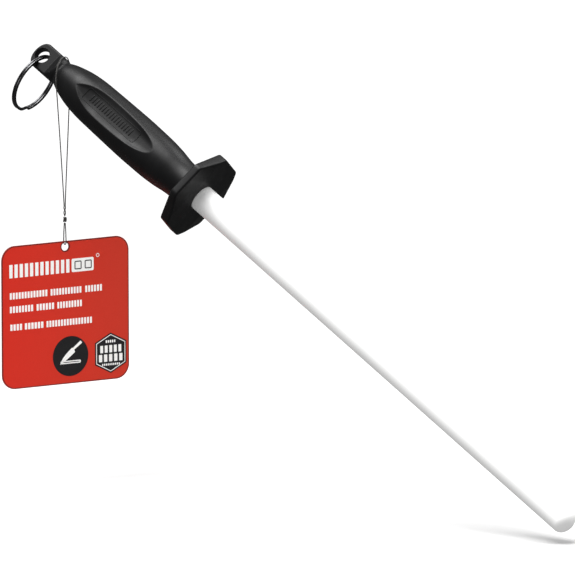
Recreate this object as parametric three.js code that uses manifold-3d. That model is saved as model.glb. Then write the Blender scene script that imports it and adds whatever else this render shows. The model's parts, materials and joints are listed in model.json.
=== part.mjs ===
// A ceramic honing rod: a white rod in a moulded handle with an eight-sided finger guard,
// a split ring through the handle's eye and a card tag on a loop of string round its neck.
//
// Millimetres, +Z up. The origin is on the rod's axis at the middle of the grip, where a hand
// holds it, and the rod hangs tip down at TILT, so that the tag hangs straight down from it.
//
// The rod, guard and handle are modelled along X: x = 0 is the guard's front face, +X points to
// the rod's tip, and -Y faces the side with the eye's flat and the grip panel that is seen first.
import * as THREE from "three";
import { mergeVertices } from "three/addons/utils/BufferGeometryUtils.js";
import Module from "manifold-3d";

const wasm = await Module();
wasm.setup();

// ---------------------------------------------------------------- driving dimensions
const RAD = Math.PI / 180;
const TILT = 31.5 * RAD; // the rod's axis below the horizontal
const ROLL = -34.7 * RAD; // the handle's turn about its own axis, panel side up
const GRIP_MIDDLE = -58; // x of the origin
const GAP = 0.3; // clearance between touching pieces
const PAST = 5; // how far a cutting shape runs beyond what it cuts

const ROD_RADIUS = 6.35;
const ROD_TIP = 254;
const ROD_DOME = 4.8; // length of the rounded tip
const ROD_TAIL = -51; // the end inside the handle
const ROD_CHAMFER = 1;
const ROD_SEGMENTS = 48;

const SLEEVE_WALL = 0.65;
const SLEEVE_RADIUS = ROD_RADIUS + GAP + SLEEVE_WALL;
const SLEEVE_FRONT = -2.5;
const PAD_THICKNESS = 3.3;
const SLEEVE_SEGMENTS = 36;
const SOCKET_RADIUS = SLEEVE_RADIUS + GAP;
const SOCKET_BOTTOM = ROD_TAIL - GAP - PAD_THICKNESS - GAP;
const SOCKET_SEGMENTS = 40;

const GUARD_ACROSS = 41; // across the octagon's flats
const GUARD_HALF_SIDE = 22.5 * RAD; // half the angle of one of its eight sides
const GUARD_BACK = -5.4;
const GUARD_BAND = 11.5; // half width of the flat band on the front
const GUARD_FALL = 1.4; // how far the front slopes back at its two sides
const SPIGOT_RADIUS = 8.9; // the handle's nose, inside the guard
const SPIGOT_FRONT = -2.2;

// Handle outline behind the guard: x, radius.
const GRIP_OUTLINE = [
  [-5.7, 9.5],
  [-10, 9.45],
  [-14.7, 9.55],
  [-18.4, 9.9],
  [-24.2, 10.75],
  [-31, 11.3],
  [-38.4, 11.5],
  [-47, 11.6],
  [-59, 11.4],
  [-70, 11.15],
  [-76, 10.95],
  [-81.3, 10.5],
  [-87, 9.6],
  [-92.7, 8.1],
  [-95.5, 7.1],
  [-97.7, 6.15],
  [-99.3, 6.5],
];
const GRIP_STEPS = 34;
const HANDLE_SEGMENTS = 60;
const LUG_RADIUS = 6.55;
const LUG_START = -99.9; // the front of the lug and of the ramps to the eye's flats
const LUG_ROUND = 3.9; // length of the lug's rounded end
const LUG_END = -115.6;
const LUG_FLAT = 2.5; // the eye's flats, from the axis
const FLAT_FRONT = -103.9;
const EYE_X = -110.8;
const EYE_RADIUS = 3.5;
const EYE_SEGMENTS = 32;

// Grip panel: the almond outline's upper half, from its pointed rear end to its front, as cubic
// curves of two control points and an end, each [x, half width]. The lower half mirrors it.
const PANEL_REAR = [-83.6, 0];
const PANEL_CURVES = [
  [[-79, 4.6], [-73, 6.35], [-62, 6.35]],
  [[-48, 6.35], [-37, 5.3], [-32.5, 2.2]],
  [[-31.5, 1.33], [-31, 0.6], [-31, 0]],
];
const PANEL_CURVE_STEPS = 9;
const PANEL_FLOOR = 8.8; // from the axis

const RING_RADIUS = 14; // to the middle of its wire
const RING_WIRE = 0.47; // wire radius
const RING_LAYER = 1.02; // from one turn to the next
const RING_LEAN = 8.2 * RAD; // from square to the handle, towards the rod
const RING_STEP_ANGLE = 24 * RAD; // where the wire steps from one turn to the other
const RING_ENDS_AT = 200 * RAD; // where the ring's two ends are, round from the eye
const RING_END_GAP = 2 * RAD;

const STRING_RADIUS = 0.35;
const STRING_NECK = -96.5; // x where the string's loop goes round the neck
const KNOT_DROP = 69; // below the neck's axis
const KNOT_RADIUS = 1.0;
const KNOT_HALF_HEIGHT = 1.3;

const TAG_SIZE = 68.5;
const TAG_CORNER = 7;
const TAG_THICKNESS = 0.6;
const TAG_HOLE = 2.0; // hole radius
const TAG_HOLE_DROP = 2.7; // the hole's centre below the tag's top edge
const TAG_DROP = 79.3; // the tag's top edge below the neck's axis
const TAG_YAW = 67.2 * RAD; // from +X to the tag's width

// The string's route, from the knot up the near strand, over the neck and down the far strand:
// offsets from the neck's axis where the loop crosses it.
const STRING_ROUTE = [
  [0.1, -0.4, -67.4],
  [0.42, 0.0, -66.2],
  [0.0, 0.42, -65.0],
  [-0.42, 0.0, -63.8],
  [0.0, -0.46, -62.4],
  [0.3, -1.2, -57.5],
  [0.75, -2.95, -44],
  [1.3, -5.25, -27],
  [1.9, -7.65, -10.5],
  [2.1, -8.8, -1.6],
  [2.05, -8.5, 1.9],
  [1.65, -6.9, 5.4],
  [0.95, -4.0, 7.8],
  [0.0, 0.0, 8.6],
  [-0.95, 3.6, 7.8],
  [-1.65, 6.0, 5.4],
  [-2.05, 7.2, 1.9],
  [-2.1, 7.35, -1.6],
  [-1.85, 6.45, -10.5],
  [-1.3, 4.6, -27],
  [-0.75, 2.65, -44],
  [-0.3, 1.1, -57.5],
  [0.0, 0.46, -62.4],
  [0.42, 0.0, -63.8],
  [0.0, -0.42, -65.0],
  [-0.42, 0.0, -66.2],
  [-0.1, 0.4, -67.4],
];
const STRING_STEPS = 78;
// The small loop below the knot, through the tag's hole: offset along the tag's normal, height
// from the neck's axis.
const LOOP_ROUTE = [
  [0.42, -70.6],
  [0.8, -73.5],
  [1.06, -77],
  [1.12, -79.6],
  [0.8, -80.57],
  [0, -80.95],
  [-0.8, -80.57],
  [-1.12, -79.6],
  [-1.06, -77],
  [-0.8, -73.5],
  [-0.42, -70.6],
];
const LOOP_STEPS = 30;

const COLOURS = {
  ceramic: { color: 0xf4f4f2, roughness: 0.45, metalness: 0 },
  elastomer: { color: 0x2a2a2a, roughness: 0.9, metalness: 0 },
  moulding: { color: 0x1c1c1d, roughness: 0.5, metalness: 0 },
  ring: { color: 0x4a4a4c, roughness: 0.22, metalness: 1 },
  string: { color: 0x3a3938, roughness: 0.9, metalness: 0 },
  card: { color: 0xc8321f, roughness: 0.55, metalness: 0 },
};

// ---------------------------------------------------------------- helpers
const v3 = (x, y, z) => new THREE.Vector3(x, y, z);
const v2 = (x, y) => new THREE.Vector2(x, y);

// A copy of a geometry with its shared vertices merged.
function merged(geometry) {
  geometry.deleteAttribute("normal");
  geometry.deleteAttribute("uv");
  return mergeVertices(geometry, 1e-4);
}

// A closed geometry as a solid that can be cut and joined.
function solid(geometry) {
  const shape = merged(geometry);
  return new wasm.Manifold(
    new wasm.Mesh({
      numProp: 3,
      vertProperties: new Float32Array(shape.attributes.position.array),
      triVerts: new Uint32Array(shape.index.array),
    }),
  );
}

// A solid back as a three.js geometry.
function geometryOf(cut) {
  const mesh = cut.getMesh();
  const geometry = new THREE.BufferGeometry();
  geometry.setAttribute("position", new THREE.BufferAttribute(mesh.vertProperties, 3));
  geometry.setIndex(new THREE.BufferAttribute(mesh.triVerts, 1));
  return geometry;
}

// An outline of [x, radius] points turned about the X axis, from low x to high x.
function revolved(outline, segments) {
  const points = outline.map(([x, r]) => v2(r, x));
  return new THREE.LatheGeometry(points, segments).rotateZ(-90 * RAD);
}

// An outline in the X-Y plane, extruded along Z from low to high.
function extrudedUp(points, low, high) {
  const shape = new THREE.Shape(points.map(([x, y]) => v2(x, y)));
  const options = { depth: high - low, bevelEnabled: false };
  return new THREE.ExtrudeGeometry(shape, options).translate(0, 0, low);
}

// A round tube of the given radius along a curve.
function tube(curve, radius, sides, steps) {
  const section = new THREE.Shape();
  for (let i = 0; i < sides; i += 1) {
    const angle = ((i + 0.5) / sides) * 2 * Math.PI;
    const point = [radius * Math.cos(angle), radius * Math.sin(angle)];
    if (i === 0) section.moveTo(...point);
    else section.lineTo(...point);
  }
  section.closePath();
  return new THREE.ExtrudeGeometry(section, { steps, extrudePath: curve, bevelEnabled: false });
}

function part(name, geometry, finish) {
  const shape = merged(geometry);
  shape.computeVertexNormals();
  const mesh = new THREE.Mesh(shape, new THREE.MeshStandardMaterial(COLOURS[finish]));
  mesh.name = name;
  return mesh;
}

// ---------------------------------------------------------------- rod and its seat
function ceramicRod() {
  const outline = [
    [ROD_TAIL, 0],
    [ROD_TAIL, ROD_RADIUS - ROD_CHAMFER],
    [ROD_TAIL + ROD_CHAMFER, ROD_RADIUS],
  ];
  const domeSteps = 8;
  for (let i = 0; i < domeSteps; i += 1) {
    const angle = (i / domeSteps) * 90 * RAD;
    const x = ROD_TIP - ROD_DOME + ROD_DOME * Math.sin(angle);
    outline.push([x, ROD_RADIUS * Math.cos(angle)]);
  }
  outline.push([ROD_TIP, 0]);
  return revolved(outline, ROD_SEGMENTS);
}

function rodSleeve() {
  const inner = ROD_RADIUS + GAP;
  const rear = ROD_TAIL + GAP;
  const outline = [
    [rear, inner],
    [rear, SLEEVE_RADIUS],
    [SLEEVE_FRONT, SLEEVE_RADIUS],
    [SLEEVE_FRONT, inner],
    [rear, inner],
  ];
  return revolved(outline, SLEEVE_SEGMENTS);
}

function rodEndPad() {
  const front = ROD_TAIL - GAP;
  const outline = [
    [front - PAD_THICKNESS, 0],
    [front - PAD_THICKNESS, SLEEVE_RADIUS],
    [front, SLEEVE_RADIUS],
    [front, 0],
  ];
  return revolved(outline, SLEEVE_SEGMENTS);
}

// ---------------------------------------------------------------- finger guard
function fingerGuard() {
  const half = GUARD_ACROSS / 2;
  const corner = half / Math.cos(GUARD_HALF_SIDE);
  const thickness = -GUARD_BACK;
  const octagon = new THREE.CylinderGeometry(corner, corner, thickness, 8, 1, false, GUARD_HALF_SIDE)
    .rotateZ(-90 * RAD)
    .translate(GUARD_BACK / 2, 0, 0);
  // The front falls away on the two sides of its middle band.
  const reach = half + PAST;
  const fallAtReach = (GUARD_FALL * (reach - GUARD_BAND)) / (half - GUARD_BAND);
  const roof = extrudedUp(
    [
      [GUARD_BACK - PAST, -reach],
      [-fallAtReach, -reach],
      [0, -GUARD_BAND],
      [0, GUARD_BAND],
      [-fallAtReach, reach],
      [GUARD_BACK - PAST, reach],
    ],
    -reach,
    reach,
  );
  const bore = revolved(
    [
      [GUARD_BACK - PAST, 0],
      [GUARD_BACK - PAST, SPIGOT_RADIUS + GAP],
      [SPIGOT_FRONT + GAP, SPIGOT_RADIUS + GAP],
      [SPIGOT_FRONT + GAP, ROD_RADIUS + GAP],
      [PAST, ROD_RADIUS + GAP],
      [PAST, 0],
    ],
    ROD_SEGMENTS,
  );
  return geometryOf(solid(octagon).intersect(solid(roof)).subtract(solid(bore)));
}

// ---------------------------------------------------------------- handle
function handleOutline() {
  const curve = new THREE.SplineCurve(GRIP_OUTLINE.map(([x, r]) => v2(x, r)));
  const grip = curve.getPoints(GRIP_STEPS).map((point) => [point.x, point.y]);
  const outline = [
    [SPIGOT_FRONT, 0],
    [SPIGOT_FRONT, SPIGOT_RADIUS],
    [GUARD_BACK - GAP, SPIGOT_RADIUS],
    ...grip,
    [LUG_START, LUG_RADIUS],
    [LUG_END + LUG_ROUND, LUG_RADIUS],
  ];
  const endSteps = 6;
  for (let i = 1; i < endSteps; i += 1) {
    const angle = (i / endSteps) * 90 * RAD;
    const x = LUG_END + LUG_ROUND - LUG_ROUND * Math.sin(angle);
    outline.push([x, LUG_RADIUS * Math.cos(angle)]);
  }
  outline.push([LUG_END, 0]);
  return outline.reverse();
}

// A grip panel's outline in the X-Z plane.
function panelOutline() {
  const half = new THREE.Path();
  half.moveTo(...PANEL_REAR);
  for (const [leaving, arriving, end] of PANEL_CURVES) {
    half.bezierCurveTo(...leaving, ...arriving, ...end);
  }
  const upper = half.getPoints(PANEL_CURVE_STEPS);
  const lower = upper.slice(1, -1).reverse().map((point) => v2(point.x, -point.y));
  return new THREE.Shape([...upper, ...lower]);
}

function handleBody() {
  let body = solid(revolved(handleOutline(), HANDLE_SEGMENTS));
  body = body.subtract(
    solid(
      revolved(
        [
          [SOCKET_BOTTOM, 0],
          [SOCKET_BOTTOM, SOCKET_RADIUS],
          [SPIGOT_FRONT + PAST, SOCKET_RADIUS],
          [SPIGOT_FRONT + PAST, 0],
        ],
        SOCKET_SEGMENTS,
      ),
    ),
  );
  const outside = LUG_RADIUS + PAST;
  for (const side of [-1, 1]) {
    // The eye's flat and the ramp that ends it.
    const flat = extrudedUp(
      [
        [LUG_END - PAST, LUG_FLAT],
        [FLAT_FRONT, LUG_FLAT],
        [LUG_START, LUG_RADIUS],
        [LUG_START, outside],
        [LUG_END - PAST, outside],
      ],
      -outside,
      outside,
    );
    // The grip panel's recess.
    const panel = new THREE.ExtrudeGeometry(panelOutline(), { depth: PAST, bevelEnabled: false })
      .rotateX(-90 * RAD)
      .translate(0, PANEL_FLOOR, 0);
    if (side < 0) {
      flat.rotateX(180 * RAD);
      panel.rotateX(180 * RAD);
    }
    body = body.subtract(solid(flat)).subtract(solid(panel));
  }
  const through = 2 * (LUG_FLAT + PAST);
  const eye = new THREE.CylinderGeometry(EYE_RADIUS, EYE_RADIUS, through, EYE_SEGMENTS);
  return geometryOf(body.subtract(solid(eye.translate(EYE_X, 0, 0))));
}

// ---------------------------------------------------------------- places in the hanging frame
const alongRod = v3(Math.cos(TILT), 0, -Math.sin(TILT));
const awayFromRod = v3(Math.sin(TILT), 0, Math.cos(TILT)); // square to the axis, upwards
const onAxis = (x) => alongRod.clone().multiplyScalar(x - GRIP_MIDDLE);
const neck = onAxis(STRING_NECK);

// ---------------------------------------------------------------- split ring
// Two turns of wire side by side, with one step from the first turn to the second.
class SplitRingCurve extends THREE.Curve {
  constructor() {
    super();
    this.down = awayFromRod
      .clone()
      .multiplyScalar(-Math.cos(RING_LEAN))
      .addScaledVector(alongRod, Math.sin(RING_LEAN));
    this.across = v3(0, 1, 0);
    this.normal = this.down.clone().cross(this.across);
    this.centre = onAxis(EYE_X).addScaledVector(this.down, RING_RADIUS);
  }

  getPoint(t, target = v3(0, 0, 0)) {
    const turned = t * (4 * Math.PI - RING_STEP_ANGLE - RING_END_GAP);
    const step = THREE.MathUtils.smoothstep(turned, 2 * Math.PI - RING_STEP_ANGLE, 2 * Math.PI);
    const angle = RING_ENDS_AT + turned;
    return target
      .copy(this.centre)
      .addScaledVector(this.down, -RING_RADIUS * Math.cos(angle))
      .addScaledVector(this.across, RING_RADIUS * Math.sin(angle))
      .addScaledVector(this.normal, (step - 0.5) * RING_LAYER);
  }
}

// ---------------------------------------------------------------- string and tag
function tagStringUpper() {
  const points = STRING_ROUTE.map(([x, y, z]) => v3(x, y, z).add(neck));
  return tube(new THREE.CatmullRomCurve3(points), STRING_RADIUS, 8, STRING_STEPS);
}

function stringKnot() {
  const steps = 8;
  const outline = [];
  for (let i = 0; i <= steps; i += 1) {
    const angle = (i / steps - 0.5) * Math.PI;
    const radius = i % steps === 0 ? 0 : KNOT_RADIUS * Math.cos(angle);
    outline.push(v2(radius, KNOT_HALF_HEIGHT * Math.sin(angle)));
  }
  const knot = new THREE.LatheGeometry(outline, 12).rotateX(90 * RAD);
  return knot.translate(neck.x, neck.y, neck.z - KNOT_DROP);
}

function tagStringLower() {
  const normal = v3(Math.sin(TAG_YAW), -Math.cos(TAG_YAW), 0);
  const points = LOOP_ROUTE.map(([out, z]) => v3(0, 0, z).addScaledVector(normal, out).add(neck));
  return tube(new THREE.CatmullRomCurve3(points), STRING_RADIUS, 8, LOOP_STEPS);
}

function tagCard() {
  const half = TAG_SIZE / 2;
  const inner = half - TAG_CORNER;
  const card = new THREE.Shape();
  card.moveTo(half, -inner);
  card.absarc(inner, inner, TAG_CORNER, 0, 90 * RAD);
  card.absarc(-inner, inner, TAG_CORNER, 90 * RAD, 180 * RAD);
  card.absarc(-inner, -inner, TAG_CORNER, 180 * RAD, 270 * RAD);
  card.absarc(inner, -inner, TAG_CORNER, 270 * RAD, 360 * RAD);
  const hole = new THREE.Path();
  hole.absarc(0, half - TAG_HOLE_DROP, TAG_HOLE, 0, 360 * RAD, true);
  card.holes.push(hole);
  const options = { depth: TAG_THICKNESS, bevelEnabled: false, curveSegments: 10 };
  return new THREE.ExtrudeGeometry(card, options)
    .translate(0, 0, -TAG_THICKNESS / 2)
    .rotateX(90 * RAD)
    .rotateZ(TAG_YAW)
    .translate(neck.x, neck.y, neck.z - TAG_DROP - half);
}

// ---------------------------------------------------------------- the object
const steel = new THREE.Group();
steel.rotation.x = ROLL;
steel.position.x = -GRIP_MIDDLE;
steel.add(part("ceramic_rod", ceramicRod(), "ceramic"));
steel.add(part("rod_sleeve", rodSleeve(), "elastomer"));
steel.add(part("rod_end_pad", rodEndPad(), "elastomer"));
steel.add(part("finger_guard", fingerGuard(), "moulding"));
steel.add(part("handle_body", handleBody(), "moulding"));

const tilted = new THREE.Group();
tilted.rotation.y = TILT;
tilted.add(steel);

const honingRod = new THREE.Group();
honingRod.add(tilted);
honingRod.add(part("hang_ring", tube(new SplitRingCurve(), RING_WIRE, 8, 96), "ring"));
honingRod.add(part("tag_string_upper", tagStringUpper(), "string"));
honingRod.add(part("string_knot", stringKnot(), "string"));
honingRod.add(part("tag_string_lower", tagStringLower(), "string"));
honingRod.add(part("tag_card", tagCard(), "card"));

export default honingRod;
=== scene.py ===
# The looks of a ceramic honing rod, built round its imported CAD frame.
#
# Row frame, metres. Shapes are worked out in the steel's own frame, in millimetres: x runs along
# the rod from the guard's front face towards the tip, -y faces the grip panel that is seen first,
# and z is square to both. to_row() turns that frame into the row frame.
import json
import math

import bmesh
import bpy
import numpy as np
from mathutils import Matrix, Quaternion, Vector

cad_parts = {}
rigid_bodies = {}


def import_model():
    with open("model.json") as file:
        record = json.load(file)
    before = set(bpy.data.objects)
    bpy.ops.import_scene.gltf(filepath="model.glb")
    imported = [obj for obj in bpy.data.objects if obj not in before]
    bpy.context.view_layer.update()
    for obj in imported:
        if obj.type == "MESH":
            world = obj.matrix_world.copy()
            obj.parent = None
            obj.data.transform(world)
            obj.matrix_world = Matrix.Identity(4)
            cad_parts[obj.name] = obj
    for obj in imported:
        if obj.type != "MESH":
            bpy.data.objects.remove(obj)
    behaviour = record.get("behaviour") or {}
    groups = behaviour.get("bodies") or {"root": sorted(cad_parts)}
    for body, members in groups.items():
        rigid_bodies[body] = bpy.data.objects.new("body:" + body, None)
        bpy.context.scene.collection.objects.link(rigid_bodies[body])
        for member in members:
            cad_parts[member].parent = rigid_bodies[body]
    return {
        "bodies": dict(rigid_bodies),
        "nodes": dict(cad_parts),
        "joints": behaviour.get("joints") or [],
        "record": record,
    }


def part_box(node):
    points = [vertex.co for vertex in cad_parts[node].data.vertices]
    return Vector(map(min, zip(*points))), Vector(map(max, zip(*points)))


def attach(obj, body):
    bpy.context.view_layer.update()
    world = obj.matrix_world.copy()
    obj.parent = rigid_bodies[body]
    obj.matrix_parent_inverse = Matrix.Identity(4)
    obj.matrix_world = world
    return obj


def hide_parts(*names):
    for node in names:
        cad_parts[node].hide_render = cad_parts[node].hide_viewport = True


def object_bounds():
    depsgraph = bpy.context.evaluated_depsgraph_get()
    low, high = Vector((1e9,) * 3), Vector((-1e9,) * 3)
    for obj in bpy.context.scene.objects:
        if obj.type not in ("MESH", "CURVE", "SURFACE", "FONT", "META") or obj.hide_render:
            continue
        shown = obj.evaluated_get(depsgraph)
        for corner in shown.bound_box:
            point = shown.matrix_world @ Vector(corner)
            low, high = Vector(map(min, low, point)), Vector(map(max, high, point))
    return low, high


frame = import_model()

CAD_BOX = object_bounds()
MM = 0.001
TAU = 2 * math.pi


# ---------------------------------------------------------------- places taken from the frame
MOUNTS = {mount["name"]: mount for mount in frame["record"]["mounts"]}
PIVOTS = {joint["name"]: Vector(joint["pos_m"]) for joint in frame["joints"]}
ALONG = Vector(MOUNTS["guard_front"]["axis"]).normalized()
UP = -Vector(MOUNTS["guard_rest"]["axis"]).normalized()
SIDE = UP.cross(ALONG)
AXES = np.array([ALONG, SIDE, UP])
GUARD_MOUNT_Z = 14 * MM  # where the guard's front mount sits on the flat band
GUARD_FRONT = Vector(MOUNTS["guard_front"]["pos_m"]) - GUARD_MOUNT_Z * UP
AWAY = Vector((-ALONG.z, 0, ALONG.x))  # square to the axis, upwards in the row frame
NECK = PIVOTS["string_swing"]
EYE = PIVOTS["ring_swing"]
TAG_NORMAL = next(Vector(j["axis"]) for j in frame["joints"] if j["name"] == "tag_swing").normalized()
TAG_RIGHT = Vector((0, 0, 1)).cross(TAG_NORMAL)


def to_row(points):
    """Points of the steel's own frame, in millimetres, in the row frame."""
    return np.array(GUARD_FRONT) + np.asarray(points, float) * MM @ AXES


def own_box(node):
    """A CAD node's lowest and highest corner in the steel's own frame, in millimetres."""
    corners = np.array([vertex.co for vertex in frame["nodes"][node].data.vertices])
    own = (corners - np.array(GUARD_FRONT)) @ AXES.T / MM
    return own.min(0), own.max(0)


# ---------------------------------------------------------------- camera, cords first
CAMERA_AZIMUTH = math.radians(37.7)
CAMERA_ELEVATION = math.radians(10)
CAMERA_DISTANCE = 12.0
CAMERA_LENS = 1599
CAMERA_ROLL = math.radians(-0.21)
CAMERA_SENSOR = 36
CAMERA_REACH = 50
LOOK_RIGHT = 39.9 * MM  # from the guard's front to the middle of the view
LOOK_UP = -42.05 * MM
VIEW_BACK = Vector(
    (
        math.sin(CAMERA_AZIMUTH) * math.cos(CAMERA_ELEVATION),
        -math.cos(CAMERA_AZIMUTH) * math.cos(CAMERA_ELEVATION),
        math.sin(CAMERA_ELEVATION),
    )
)
VIEW_RIGHT = Vector((math.cos(CAMERA_AZIMUTH), math.sin(CAMERA_AZIMUTH), 0))
VIEW_UP = VIEW_BACK.cross(VIEW_RIGHT)


def seen_from(right, up, back):
    """A direction given to the right, upwards and towards the camera, as the camera sees it."""
    return (VIEW_RIGHT * right + VIEW_UP * up + VIEW_BACK * back).normalized()


def make_camera():
    camera = bpy.data.objects.new("camera", bpy.data.cameras.new("camera"))
    camera.data.lens = CAMERA_LENS
    camera.data.sensor_width = CAMERA_SENSOR
    camera.data.clip_end = CAMERA_REACH
    aim = GUARD_FRONT + VIEW_RIGHT * LOOK_RIGHT + VIEW_UP * LOOK_UP
    camera.location = aim + VIEW_BACK * CAMERA_DISTANCE
    camera.rotation_mode = "QUATERNION"
    level = (-VIEW_BACK).to_track_quat("-Z", "Y")
    camera.rotation_quaternion = level @ Quaternion((0, 0, 1), CAMERA_ROLL)
    bpy.context.scene.collection.objects.link(camera)
    bpy.context.scene.camera = camera


make_camera()


# ---------------------------------------------------------------- mesh helpers
class Skin:
    """Vertices and faces of one piece, gathered from closed parts."""

    def __init__(self):
        self.points = []
        self.faces = []
        self.count = 0

    def add(self, points, faces):
        points = np.asarray(points, float).reshape(-1, 3)
        self.points.append(points)
        self.faces += [[index + self.count for index in face] for face in faces]
        self.count += len(points)
        return self

    def loft(self, rings, closed=False):
        """A skin through rings of equal point counts, with ends filled unless it closes on itself."""
        rings = np.asarray(rings, float)
        rows, columns = rings.shape[:2]
        faces = []
        for row in range(rows if closed else rows - 1):
            low, high = row * columns, (row + 1) % rows * columns
            for column in range(columns):
                after = (column + 1) % columns
                faces.append([low + column, low + after, high + after, high + column])
        if not closed:
            faces.append(list(range(columns))[::-1])
            faces.append(list(range((rows - 1) * columns, rows * columns)))
        return self.add(rings.reshape(-1, 3), faces)

    def piece(self, name, material, body, slot, replaces=(), sharp=30):
        mesh = bpy.data.meshes.new(name)
        mesh.from_pydata(np.vstack(self.points).tolist(), [], self.faces)
        mesh.materials.append(material)
        tidy_normals(mesh)
        mesh.shade_smooth()
        mesh.set_sharp_from_angle(angle=math.radians(sharp))
        made = bpy.data.objects.new(name, mesh)
        bpy.context.scene.collection.objects.link(made)
        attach(made, body)
        if replaces:
            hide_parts(*replaces)
        return made


def tidy_normals(mesh):
    shape = bmesh.new()
    shape.from_mesh(mesh)
    bmesh.ops.remove_doubles(shape, verts=shape.verts, dist=1e-7)
    bmesh.ops.recalc_face_normals(shape, faces=shape.faces)
    shape.to_mesh(mesh)
    shape.free()


def through(points, steps, power=0.5):
    """A Catmull-Rom curve through points, steps samples to a span; power 0.5 is the centripetal one."""
    knots = np.asarray(points, float)
    knots = np.vstack([2 * knots[0] - knots[1], knots, 2 * knots[-1] - knots[-2]])
    share = np.linspace(0, 1, steps, endpoint=False)[:, None]
    line = []
    for a, b, c, d in zip(knots, knots[1:], knots[2:], knots[3:]):
        before, span, after = (np.linalg.norm(q - p) ** power for p, q in ((a, b), (b, c), (c, d)))
        leave = span * ((b - a) / before - (c - a) / (before + span) + (c - b) / span)
        arrive = span * ((c - b) / span - (d - b) / (span + after) + (d - c) / after)
        line.append(
            (1 - 3 * share**2 + 2 * share**3) * b
            + (share - 2 * share**2 + share**3) * leave
            + (3 * share**2 - 2 * share**3) * c
            + (share**3 - share**2) * arrive
        )
    return np.vstack([*line, knots[-2:-1]])


def evenly(line, spacing):
    """A line's points spaced evenly along it."""
    travelled = np.append(0, np.cumsum(np.linalg.norm(np.diff(line, axis=0), axis=1)))
    wanted = np.linspace(0, travelled[-1], max(2, round(travelled[-1] / spacing) + 1))
    return np.stack([np.interp(wanted, travelled, line[:, axis]) for axis in range(3)], 1)


def carried_frames(line):
    """Two directions square to a line at each of its points, carried along it without twist."""
    tangents = np.gradient(line, axis=0)
    tangents /= np.linalg.norm(tangents, axis=1)[:, None]
    first = np.cross(tangents[0], (0.3, 0.5, 0.8))
    firsts = []
    for tangent in tangents:
        first = first - tangent * (first @ tangent)
        first = first / np.linalg.norm(first)
        firsts.append(first)
    firsts = np.array(firsts)
    return firsts, np.cross(tangents, firsts)


def tube_rings(line, radius, sides):
    across, square = carried_frames(line)
    turn = np.arange(sides) / sides * TAU
    offsets = np.cos(turn)[None, :, None] * across[:, None] + np.sin(turn)[None, :, None] * square[:, None]
    return line[:, None] + np.asarray(radius).reshape(-1, 1, 1) * offsets


def smooth_least(a, b, blend):
    """The lesser of two distances, with the crease between them rounded over blend."""
    near = np.clip(blend - np.abs(a - b), 0, None) / blend
    return np.minimum(a, b) - near * near * blend / 4


# ---------------------------------------------------------------- materials
OWN_TURN = Matrix([tuple(ALONG), tuple(SIDE), tuple(UP)]).to_euler()


class Finish:
    """A procedural material on one Principled shader."""

    def __init__(self, name, **sockets):
        self.material = bpy.data.materials.new(name)
        self.material.use_nodes = True
        self.nodes = self.material.node_tree.nodes
        self.links = self.material.node_tree.links
        self.shader = self.nodes["Principled BSDF"]
        for socket, value in sockets.items():
            self.shader.inputs[socket.replace("_", " ")].default_value = value
        self.place = self.node("ShaderNodeTexCoord").outputs["Object"]

    def node(self, kind, **settings):
        made = self.nodes.new(kind)
        for key, value in settings.items():
            setattr(made, key, value)
        return made

    def feed(self, socket, value):
        if isinstance(value, bpy.types.NodeSocket):
            self.links.new(value, socket)
        else:
            socket.default_value = value

    def mapped(self, turn=(0, 0, 0), scale=(1, 1, 1), place=None):
        made = self.node("ShaderNodeMapping")
        self.feed(made.inputs["Vector"], place or self.place)
        made.inputs["Rotation"].default_value = turn
        made.inputs["Scale"].default_value = scale
        return made.outputs["Vector"]

    def own_frame(self, scale):
        """Coordinates along the steel's own axes, scaled."""
        return self.mapped(scale=scale, place=self.mapped(turn=OWN_TURN))

    def noise(self, scale, detail=2, roughness=0.5, place=None):
        made = self.node("ShaderNodeTexNoise")
        self.feed(made.inputs["Vector"], place or self.place)
        made.inputs["Scale"].default_value = scale
        made.inputs["Detail"].default_value = detail
        made.inputs["Roughness"].default_value = roughness
        return made.outputs["Fac"]

    def between(self, fac, low, high, start=0.0, end=1.0):
        """fac from start to end, turned into low to high."""
        made = self.node("ShaderNodeMapRange")
        self.feed(made.inputs["Value"], fac)
        made.inputs["From Min"].default_value = start
        made.inputs["From Max"].default_value = end
        made.inputs["To Min"].default_value = low
        made.inputs["To Max"].default_value = high
        return made.outputs["Result"]

    def ramp(self, fac, *stops):
        """Colours along fac: (place, colour) pairs."""
        made = self.node("ShaderNodeValToRGB")
        self.feed(made.inputs["Fac"], fac)
        marks = made.color_ramp.elements
        while len(marks) < len(stops):
            marks.new(0.5)
        for mark, (place, colour) in zip(marks, stops):
            mark.position = place
            mark.color = (*colour, 1)
        return made.outputs["Color"]

    def mix(self, fac, first, second):
        made = self.node("ShaderNodeMix", data_type="RGBA")
        self.feed(made.inputs["Factor"], fac)
        for socket, value in (("A", first), ("B", second)):
            target = next(i for i in made.inputs if i.name == socket and i.type == "RGBA")
            self.feed(target, value if isinstance(value, bpy.types.NodeSocket) else (*value, 1))
        return next(o for o in made.outputs if o.type == "RGBA")

    def maths(self, operation, first, second=0.0):
        made = self.node("ShaderNodeMath", operation=operation)
        self.feed(made.inputs[0], first)
        self.feed(made.inputs[1], second)
        return made.outputs[0]

    def edges(self, start, end):
        """1 on convex edges and 0 elsewhere."""
        edge_wear_and_highlight = self.node("ShaderNodeNewGeometry").outputs["Pointiness"]
        return self.between(edge_wear_and_highlight, 0, 1, start, end)

    def bump(self, height, distance, strength=1.0, under=None):
        made = self.node("ShaderNodeBump")
        made.inputs["Strength"].default_value = strength
        made.inputs["Distance"].default_value = distance
        self.feed(made.inputs["Height"], height)
        if under is not None:
            self.feed(made.inputs["Normal"], under)
        return made.outputs["Normal"]

    def use(self, **sockets):
        for socket, value in sockets.items():
            self.feed(self.shader.inputs[socket.replace("_", " ")], value)
        return self.material


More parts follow.
